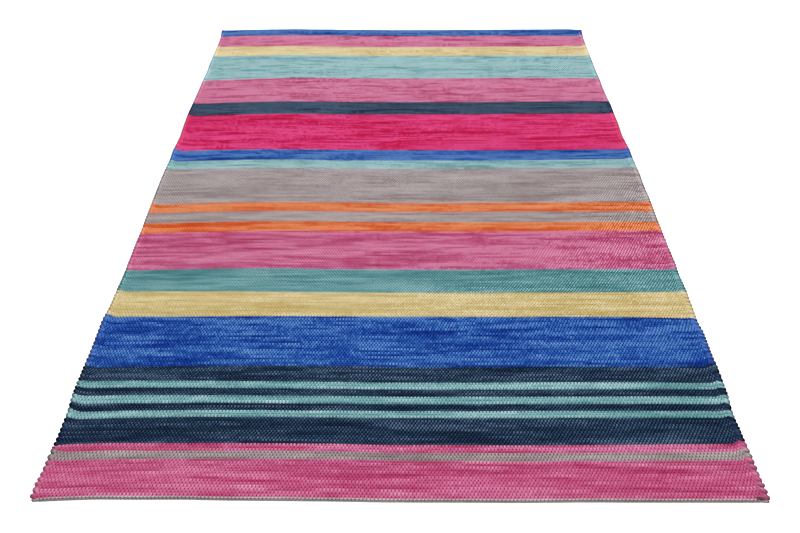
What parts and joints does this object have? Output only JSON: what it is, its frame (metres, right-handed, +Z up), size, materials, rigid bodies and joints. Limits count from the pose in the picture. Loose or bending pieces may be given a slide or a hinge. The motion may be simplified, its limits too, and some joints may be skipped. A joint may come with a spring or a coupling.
{
  "type": "cotton rug",
  "caption": "Flat-woven cotton floor rug with coloured cross stripes and turned-under hems at both ends, lying flat.",
  "frame": {"origin": "on the floor under the middle of the rug", "axes": "+X across the rug along the stripes, +Y along its length towards the far end of the picture, +Z up"},
  "size_m": [1.1984, 1.8, 0.0122],
  "materials": {
    "cotton": "matt woven cotton, striped",
    "cotton_royal_blue": "matt mottled cotton yarn",
    "cotton_pink": "matt mottled cotton yarn",
    "cotton_yellow": "matt cotton yarn",
    "cotton_aqua": "matt mottled cotton yarn",
    "cotton_navy": "matt cotton yarn",
    "cotton_magenta": "matt mottled cotton yarn",
    "cotton_grey": "matt cotton yarn",
    "cotton_orange": "matt cotton yarn",
    "cotton_teal": "matt mottled cotton yarn"
  },
  "bodies": {
    "root": {"rug": "cotton"}
  },
  "joints": []
}
